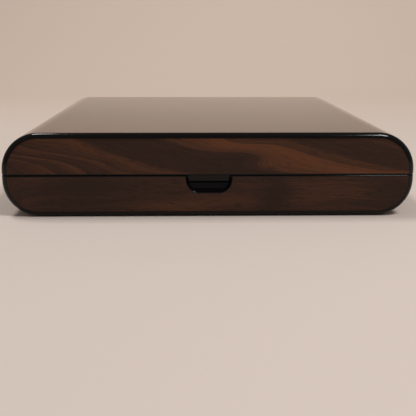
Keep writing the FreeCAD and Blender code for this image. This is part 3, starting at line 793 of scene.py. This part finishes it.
def rim_outline(half, inset):
    """Plan of a rim, inset on the outside only, with the cuts for the notch and the hinges."""
    across = ROLL_FACE * SIDE_SHARE
    along = ROLL_BACK * SIDE_SHARE
    left = -HALF_WIDTH + across
    right = HALF_WIDTH - across

    def turn(x, y, start):
        angles = steps_between(start, start + QUARTER, CORNER_STEPS)
        return [(x + (across - inset) * math.cos(angle), y + (along - inset) * math.sin(angle))
                for angle in angles]

    points = turn(left, FRONT + along, math.pi)
    if half is BASE:
        low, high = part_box("finger_notch_liner")
        points += [(low[0], FRONT + inset), (low[0], high[1])]
        points += [(high[0], high[1]), (high[0], FRONT + inset)]
    points += turn(right, FRONT + along, OUTSIDE)
    points += turn(right, BACK - along, 0.0)
    for side in ("right", "left"):
        low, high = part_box(f"{side}_{half.name}_hinge_leaf")
        first = high[0] + HINGE_FIT
        last = low[0] - HINGE_FIT
        front = low[1] - HINGE_FIT
        points += [(first, BACK - inset), (first, front), (last, front), (last, BACK - inset)]
    points += turn(left, BACK - along, QUARTER)
    return points


def rim_facing(half):
    """Black facing on a rim, with its outer edge rounded."""
    levels = [(0.0, half.edge)]
    for angle in steps_between(0.0, QUARTER, BEND_STEPS):
        depth = RIM_ROUND * (1 - math.sin(angle))
        levels.append((RIM_ROUND * (1 - math.cos(angle)), half.rim - half.to_rim * depth))
    levels.append((RIM_ROUND + RIM_HOLD, half.rim))
    loops = [[(x, y, z) for x, y in rim_outline(half, inset)] for inset, z in levels]
    hole = [(-INNER_X, -INNER_Y), (INNER_X, -INNER_Y), (INNER_X, INNER_Y), (-INNER_X, INNER_Y)]
    shape = bmesh.new()

    def add_loop(points):
        corners = [shape.verts.new(point) for point in points]
        for first, second in zip(corners, corners[1:] + corners[:1]):
            shape.edges.new((first, second))
        return corners

    def bridge(first, second):
        for number, corner in enumerate(first):
            following = (number + 1) % len(first)
            shape.faces.new((corner, first[following], second[following], second[number]))

    outside = [add_loop(points) for points in loops]
    inside = [add_loop([(x, y, z) for x, y in hole]) for z in (half.edge, half.rim)]
    for first, second in zip(outside, outside[1:]):
        bridge(first, second)
    bridge(*inside)
    for outer, inner in ((outside[0], inside[0]), (outside[-1], inside[-1])):
        ends = set(outer + inner)
        edges = [edge for edge in shape.edges if set(edge.verts) <= ends]
        bmesh.ops.triangle_fill(shape, use_beauty=True, edges=edges)
    bmesh.ops.remove_doubles(shape, verts=shape.verts, dist=MERGE)
    bmesh.ops.dissolve_degenerate(shape, edges=shape.edges, dist=MERGE)
    mesh = outward_mesh(shape, bpy.data.meshes.new("rim"))
    piece = new_piece(f"{half.name}_black_rim", mesh, EBONISED)
    stand_in(piece, half.name, "ebonised", f"{half.name}_rim_facing")


def wrap_veneer(half):
    """The sheet of veneer round one half, with its own grain directions."""
    inner = half.section(VENEER)
    count = len(inner)
    turns = steps_between(BEAD_START, OUTSIDE, BEND_STEPS)
    outsides = [half.rolled("front", *roll(turn)) for turn in turns]
    outsides += [half.rolled("back", *roll(turn)) for turn in turns[::-1]]
    corners = []
    for outside in outsides:
        inside = [(x, corner[1], z) for (x, z), corner in zip(inner, outside)]
        corners += outside + inside[::-1]
    loop = 2 * count
    faces = rings_to_faces(loop, len(outsides))
    for end in (0, loop * (len(outsides) - 1)):
        for number in range(count - 1):
            far = loop - 1 - number
            faces.append((end + number, end + number + 1, end + far - 1, end + far))
    mesh = closed_mesh(f"{half.name}_wrap_sheet", corners, faces)

    line = half.section(0.0)
    walked = [0.0]
    for first, second in zip(line, line[1:]):
        walked.append(walked[-1] + math.dist(first, second))
    along = [distance - walked[-1] / 2 for distance in walked]
    along = along + along[::-1]
    grain = mesh.attributes.new("grain", "FLOAT_VECTOR", "POINT")
    for number, corner in enumerate(corners):
        grain.data[number].vector = (along[number % loop], corner[1], 0.0)
    piece = new_piece(f"{half.name}_wrap_sheet", mesh, wrap_rosewood(half))
    stand_in(piece, half.name, "veneer", f"{half.name}_wrap_veneer")


# Pieces made by Geometry Nodes

class GeometryTree(Nodes):
    """A Geometry Nodes tree with named inputs."""

    def __init__(self, name):
        super().__init__(bpy.data.node_groups.new(name, "GeometryNodeTree"))
        self.sockets = {}
        self.tree.interface.new_socket("Result", in_out="OUTPUT", socket_type="NodeSocketGeometry")
        self.add_input("Geometry", "NodeSocketGeometry")

    def add_input(self, name, kind):
        self.sockets[name] = self.tree.interface.new_socket(name, in_out="INPUT", socket_type=kind)

    def read(self, name):
        return self.node("NodeGroupInput", output=name)

    def shade(self, geometry):
        """Smooth faces, with sharp edges where they meet at an angle."""
        angle = self.node("GeometryNodeInputMeshEdgeAngle")
        soft = self.node("FunctionNodeCompare", {"operation": "LESS_THAN"}, {0: angle, 1: SHARP})
        smooth = self.node("GeometryNodeSetShadeSmooth", {"domain": "FACE"}, {"Geometry": geometry})
        return self.node("GeometryNodeSetShadeSmooth", {"domain": "EDGE"},
                         {"Geometry": smooth, "Shade Smooth": soft})

    def close(self, geometry):
        """Realize, give the material and end the tree."""
        solid = self.node("GeometryNodeRealizeInstances", None, {"Geometry": geometry})
        painted = self.node("GeometryNodeSetMaterial", None,
                            {"Geometry": solid, "Material": self.read("Material")})
        self.node("NodeGroupOutput", None, {0: painted})

    def run(self, name, mesh, inputs):
        """Apply the tree to a mesh and keep the result as a plain piece."""
        source = add_object(f"{name}_source", mesh)
        modifier = source.modifiers.new("shape", "NODES")
        modifier.node_group = self.tree
        for label, value in inputs.items():
            modifier[self.sockets[label].identifier] = value
        depsgraph = bpy.context.evaluated_depsgraph_get()
        result = bpy.data.meshes.new_from_object(source.evaluated_get(depsgraph))
        bpy.data.objects.remove(source)
        result.name = name
        return add_object(name, result)


def edging_tree():
    """A rounded bead swept along the line of its centre, slimmer where its share is less."""
    tree = GeometryTree("edging_bead")
    for label in ("Face", "Back", "Start", "Sweep"):
        tree.add_input(label, "NodeSocketFloat")
    tree.add_input("Facing", "NodeSocketVector")
    tree.add_input("Steps", "NodeSocketInt")
    tree.add_input("Material", "NodeSocketMaterial")
    line = tree.node("GeometryNodeMeshToCurve", None, {"Mesh": tree.read("Geometry")})
    line = tree.node("GeometryNodeSetCurveNormal", {"mode": "FREE"},
                     {"Curve": line, "Normal": tree.read("Facing")})
    arc = tree.node("GeometryNodeCurveArc", {"mode": "RADIUS"},
                    {"Resolution": tree.read("Steps"), "Radius": 1.0, "Start Angle": tree.read("Start"),
                     "Sweep Angle": tree.read("Sweep"), "Connect Center": True})
    size = tree.point(tree.read("Back"), tree.read("Face"), 1.0)
    profile = tree.node("GeometryNodeTransform", None, {"Geometry": arc, "Scale": size})
    share = tree.node("GeometryNodeInputNamedAttribute", {"data_type": "FLOAT"}, {"Name": "share"})
    bar = tree.node("GeometryNodeCurveToMesh", None,
                    {"Curve": line, "Profile Curve": profile, "Scale": share, "Fill Caps": True})
    tree.close(tree.shade(bar))
    return tree


def edgings():
    """Beads round the front and the back of both halves."""
    tree = edging_tree()
    for half in (BASE, LID):
        for end, (_, inward) in ENDS.items():
            line = half.rolled(end, ROLL_FACE, ROLL_BACK)
            shares = [entry[-1] for entry in half.outline]
            if half.to_rim == inward:
                line = line[::-1]
                shares = shares[::-1]
            path = bpy.data.meshes.new("edging_line")
            links = [(number, number + 1) for number in range(len(line) - 1)]
            path.from_pydata(line, links, [])
            path.attributes.new("share", "FLOAT", "POINT").data.foreach_set("value", shares)
            inputs = {"Face": ROLL_FACE, "Back": ROLL_BACK, "Start": BEAD_START,
                      "Sweep": BEAD_END - BEAD_START, "Facing": (0.0, -float(inward), 0.0),
                      "Steps": BEAD_STEPS, "Material": EBONISED}
            piece = tree.run(f"{half.name}_{end}_bead", path, inputs)
            stand_in(piece, half.name, "ebonised", f"{half.name}_{end}_edging")


def screw_tree():
    """Countersunk slotted screws, one on each point, with their slots at odd angles."""
    tree = GeometryTree("hinge_screw")
    for label in ("Head", "Shank", "Length", "Slot width", "Slot depth", "Turn"):
        tree.add_input(label, "NodeSocketFloat")
    tree.add_input("Material", "NodeSocketMaterial")
    head = tree.read("Head")
    shank = tree.read("Shank")
    cone_height = head - shank
    cone = tree.node("GeometryNodeMeshCone", None,
                     {"Vertices": HEAD_SIDES, "Radius Top": head, "Radius Bottom": shank,
                      "Depth": cone_height})
    cone = tree.node("GeometryNodeTransform", None,
                     {"Geometry": cone, "Translation": tree.point(z=cone_height * -1.0)})
    cutter_size = tree.point(head * SLOT_LENGTH_IN_HEADS, tree.read("Slot width"),
                             tree.read("Slot depth") * 2.0)
    cutter = tree.node("GeometryNodeMeshCube", None, {"Size": cutter_size})
    slotted = tree.node("GeometryNodeMeshBoolean", {"operation": "DIFFERENCE", "solver": "EXACT"},
                        {0: cone, 1: cutter})
    length = tree.read("Length")
    stem = tree.node("GeometryNodeMeshCylinder", None,
                     {"Vertices": SHANK_SIDES, "Radius": shank, "Depth": length - cone_height})
    stem_place = tree.point(z=(length + cone_height) * -0.5)
    stem = tree.node("GeometryNodeTransform", None, {"Geometry": stem, "Translation": stem_place})
    screw = tree.node("GeometryNodeJoinGeometry", None, {0: [slotted, stem]})
    angle = tree.node("FunctionNodeRandomValue", {"data_type": "FLOAT"},
                      {2: 0.0, 3: math.pi, "Seed": SLOT_SEED}, 1)
    turn = tree.point(x=tree.read("Turn"), z=angle)
    set_out = tree.node("GeometryNodeInstanceOnPoints", None,
                        {"Points": tree.read("Geometry"), "Instance": screw, "Rotation": turn})
    tree.close(tree.shade(tree.node("GeometryNodeRealizeInstances", None, {"Geometry": set_out})))
    return tree


def hinge_screws():
    tree = screw_tree()
    for half in (BASE, LID):
        places = []
        for side in ("left", "right"):
            low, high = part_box(f"{side}_{half.name}_hinge_leaf")
            middle = (low[0] + high[0]) / 2
            for end in (-1, 1):
                places.append((middle + end * SCREW_SPACING / 2, BACK - SCREW_SET,
                               half.rim - half.to_rim * SCREW_SINK))
        points = bpy.data.meshes.new("screw_places")
        points.from_pydata(places, [], [])
        inputs = {"Head": SCREW_HEAD, "Shank": SCREW_SHANK, "Length": SCREW_LENGTH,
                  "Slot width": SLOT_WIDTH, "Slot depth": SLOT_DEPTH,
                  "Turn": 0.0 if half is BASE else math.pi, "Material": SCREW_BRASS}
        piece = tree.run(f"{half.name}_slotted_screws", points, inputs)
        stand_in(piece, half.name, "brass", f"{half.name}_hinge_screws")


# Linings, pads and dividers

def lattice_stops(low, high, radius, spacing):
    """Places along one side of a block: close together in the round ends, even between them."""
    bend = [radius * math.tan(math.pi / 4 * step / BEND_STEPS) for step in range(BEND_STEPS, 0, -1)]
    start = low + radius
    run = high - low - 2 * radius
    count = max(1, round(run / spacing))
    middle = [start + run * step / count for step in range(count + 1)]
    return [start - reach for reach in bend] + middle + [start + run + reach for reach in bend[::-1]]


def block_surface(stops):
    """Corners and faces of the surface of a block that is divided at the given places."""
    numbers = {}
    corners = []
    faces = []

    def corner(key):
        if key not in numbers:
            numbers[key] = len(corners)
            corners.append(Vector(stops[axis][key[axis]] for axis in range(3)))
        return numbers[key]

    for axis in range(3):
        first, second = [other for other in range(3) if other != axis]
        for level in (0, len(stops[axis]) - 1):
            for one in range(len(stops[first]) - 1):
                for two in range(len(stops[second]) - 1):
                    face = []
                    for step_one, step_two in ((0, 0), (1, 0), (1, 1), (0, 1)):
                        key = [0, 0, 0]
                        key[axis] = level
                        key[first] = one + step_one
                        key[second] = two + step_two
                        face.append(corner(tuple(key)))
                    faces.append(face)
    return corners, faces


def soft_block(name, low, high, radius, spacing, ripple):
    """A cloth-covered block: rounded edges, and a surface that ripples a little."""
    stops = [lattice_stops(low[axis], high[axis], radius, spacing) for axis in range(3)]
    corners, faces = block_surface(stops)
    inner_low = Vector(low) + Vector((radius,) * 3)
    inner_high = Vector(high) - Vector((radius,) * 3)
    rounded = []
    for corner in corners:
        core = Vector(min(max(c, a), b) for c, a, b in zip(corner, inner_low, inner_high))
        outward = (corner - core).normalized()
        lift = ripple * noise.noise(corner / RIPPLE_SIZE)
        rounded.append(core + outward * (radius + lift))
    mesh = closed_mesh(name, rounded, faces)
    return new_piece(name, mesh, SUEDE)


def wall_linings():
    for half in (BASE, LID):
        for side in ("left", "right", "front", "back"):
            node = f"{half.name}_{side}_lining"
            low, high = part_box(node)
            piece = soft_block(f"{half.name}_{side}_suede", low, high, *WALL_CLOTH)
            stand_in(piece, half.name, "suede", node)


def dividers():
    for node in DIVIDERS:
        low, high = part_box(node)
        piece = soft_block(f"{node}_suede", low, high, *DIVIDER_CLOTH)
        stand_in(piece, "base", "suede", node)


def swell(piece, held, pressure, cap):
    """Fill a pad by cloth simulation: held corners stay, and no corner moves further than the cap."""
    scene = bpy.context.scene
    group = piece.vertex_groups.new(name="held")
    group.add(held, 1.0, "REPLACE")
    cloth = piece.modifiers.new("swell", "CLOTH")
    cloth.settings.vertex_group_mass = group.name
    cloth.settings.use_pressure = True
    cloth.settings.uniform_pressure_force = pressure
    cloth.settings.effector_weights.gravity = 0.0
    cloth.collision_settings.use_collision = False
    for number in range(1, SWELL_FRAMES + 1):
        scene.frame_set(number)
    swollen = piece.evaluated_get(bpy.context.evaluated_depsgraph_get()).data
    places = [corner.co.copy() for corner in swollen.vertices]
    piece.modifiers.remove(cloth)
    piece.vertex_groups.remove(group)
    scene.frame_set(1)
    for corner, place in zip(piece.data.vertices, places):
        move = place - corner.co
        if move.length > 0:
            corner.co += move * (cap * math.tanh(move.length / cap) / move.length)


def pads():
    """Suede pads: one in the lid, and one on the floor that the dividers press down."""
    feet = [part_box(node) for node in DIVIDERS]

    def under_divider(place):
        return any(low[0] <= place.x <= high[0] and low[1] <= place.y <= high[1] for low, high in feet)

    for node, body in (("base_floor_pad", "base"), ("lid_pad", "lid")):
        low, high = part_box(node)
        seat = low[2] if body == "base" else high[2]
        piece = soft_block(f"{node}_suede", low, high, PAD_ROUND, PAD_SPACING, PAD_RIPPLE)
        held = []
        for corner in piece.data.vertices:
            on_seat = abs(corner.co.z - seat) < PAD_ROUND
            if on_seat or (body == "base" and under_divider(corner.co)):
                held.append(corner.index)
        swell(piece, held, PAD_PRESSURE, FLOOR_SWELL if body == "base" else LID_SWELL)
        stand_in(piece, body, "suede", node)


def underside_felt():
    """Felt glued to the underside, with a soft cut edge."""
    low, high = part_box("base_felt")
    right = high[0] - FELT_CORNER
    back = high[1] - FELT_CORNER
    corners = []
    levels = ((0.0, high[2]), (0.0, low[2] + FELT_EDGE), (FELT_BEVEL, low[2] + FELT_BEVEL),
              (FELT_EDGE, low[2]))
    middles = ((right, back), (-right, back), (-right, -back), (right, -back))
    for inset, height in levels:
        for number, (x, y) in enumerate(middles):
            start = QUARTER * number
            for angle in steps_between(start, start + QUARTER, CORNER_STEPS):
                reach = FELT_CORNER - inset
                corners.append((x + reach * math.cos(angle), y + reach * math.sin(angle), height))
    count = len(corners) // len(levels)
    faces = rings_to_faces(count, len(levels))
    faces += [range(count), range(count * (len(levels) - 1), len(corners))]
    piece = new_piece("underside_felt", closed_mesh("underside_felt", corners, faces), FELT)
    stand_in(piece, "base", "felt", "base_felt")


# Stage

# Floor: its colours under the box and at the back, and its size, turned up behind the box
NEAR_FLOOR = (0.660, 0.565, 0.505)
# The colour at the back is a little lighter than under the box: painted light that makes up for the lamps'
# light falling off towards the backdrop
FAR_FLOOR = (0.690, 0.570, 0.480)
FLOOR_FADE_MM = 900.0
FLOOR_HALF_WIDTH = 2.6
FLOOR_FRONT = -2.2
FLOOR_BEND_START = 0.75
FLOOR_BEND = 0.6
BACKDROP_TOP = 2.0

# Lamps: name, place, target, size and watts
LAMPS = (
    ("left_lamp", (-0.54, 0.15, 1.5), (-0.54, 0.15, 0.0), (0.30, 0.45), 9.2),
    ("right_lamp", (0.77, -0.75, 1.5), (0.77, -0.75, 0.0), (0.50, 0.45), 18.8),
    ("backdrop_lamp", (0.4, 0.7, 0.9), (0.4, 1.35, 0.25), (1.2, 0.3), 1.9),
)
WORLD_COLOUR = (1.0, 0.97, 0.94, 1.0)
WORLD_STRENGTH = 0.26

# Camera fitted to the photo's outlines: place in millimetres, angles in degrees, sensor and lens
CAMERA_PLACE = (-12.6, -589.5, 119.2)
CAMERA_TILT = 13.871
CAMERA_YAW = 1.489
CAMERA_BANK = 0.140
SENSOR_WIDTH = 36.0
FOCAL_LENGTH = 62.15
NEAREST_SEEN = 0.01


def studio_floor():
    """Pale floor that turns up into a backdrop."""
    shader = Shader("pale_floor")
    _, y, _ = shader.object_mm()
    away = shader.between(y, 0.0, FLOOR_FADE_MM)
    material = shader.surface({
        # Fades to the lighter back colour: painted light on the far floor and backdrop
        "Base Color": shader.ramp(away, ((0.0, NEAR_FLOOR), (1.0, FAR_FLOOR))),
        "Roughness": 1.0,
        "Specular IOR Level": 0.0,
    })
    outline = [(FLOOR_FRONT, 0.0)]
    for angle in steps_between(0.0, QUARTER, ROUND_STEPS):
        back = FLOOR_BEND_START + FLOOR_BEND * math.sin(angle)
        outline.append((back, FLOOR_BEND * (1 - math.cos(angle))))
    outline.append((FLOOR_BEND_START + FLOOR_BEND, BACKDROP_TOP))
    corners = [(x, y, z) for x in (-FLOOR_HALF_WIDTH, FLOOR_HALF_WIDTH) for y, z in outline]
    faces = [face[::-1] for face in rings_to_faces(len(outline), 2, closed_rings=False)]
    mesh = bpy.data.meshes.new("floor")
    mesh.from_pydata(corners, [], faces)
    new_piece("floor", mesh, material)


def studio_light():
    """Soft lamps and an even pale surround."""
    for name, place, target, size, watts in LAMPS:
        lamp = bpy.data.lights.new(name, "AREA")
        lamp.shape = "RECTANGLE"
        lamp.size, lamp.size_y = size
        lamp.energy = watts
        holder = add_object(name, lamp)
        holder.location = place
        holder.rotation_euler = (Vector(target) - Vector(place)).to_track_quat("-Z", "Y").to_euler()
    world = bpy.data.worlds.new("studio")
    world.use_nodes = True
    background = world.node_tree.nodes["Background"]
    background.inputs["Color"].default_value = WORLD_COLOUR
    background.inputs["Strength"].default_value = WORLD_STRENGTH
    bpy.context.scene.world = world


def photo_camera():
    """Camera at the photo's viewing angle."""
    tilt = math.radians(CAMERA_TILT)
    yaw = math.radians(CAMERA_YAW)
    bank = math.radians(CAMERA_BANK)
    forward = Vector((math.sin(yaw) * math.cos(tilt), math.cos(yaw) * math.cos(tilt), -math.sin(tilt)))
    level = Vector((math.cos(yaw), -math.sin(yaw), 0.0))
    upright = level.cross(forward)
    right = level * math.cos(bank) + upright * math.sin(bank)
    up = upright * math.cos(bank) - level * math.sin(bank)
    camera = bpy.data.cameras.new("photo_camera")
    camera.sensor_width = SENSOR_WIDTH
    camera.lens = FOCAL_LENGTH
    camera.clip_start = NEAREST_SEEN
    holder = add_object("photo_camera", camera)
    holder.matrix_world = Matrix((right, up, -forward)).transposed().to_4x4()
    holder.location = Vector(CAMERA_PLACE) * MM
    bpy.context.scene.camera = holder


paint_nodes()
for each_half in (BASE, LID):
    wrap_veneer(each_half)
    rim_facing(each_half)
    face_veneer(each_half, "back", BACK_VENEER)
face_veneer(BASE, "front", base_front_rosewood())
face_veneer(LID, "front", lid_front_rosewood())
finger_scoop()
edgings()
hinge_screws()
wall_linings()
dividers()
pads()
underside_felt()
studio_floor()
studio_light()
photo_camera()
bpy.context.scene.view_settings.view_transform = "Standard"
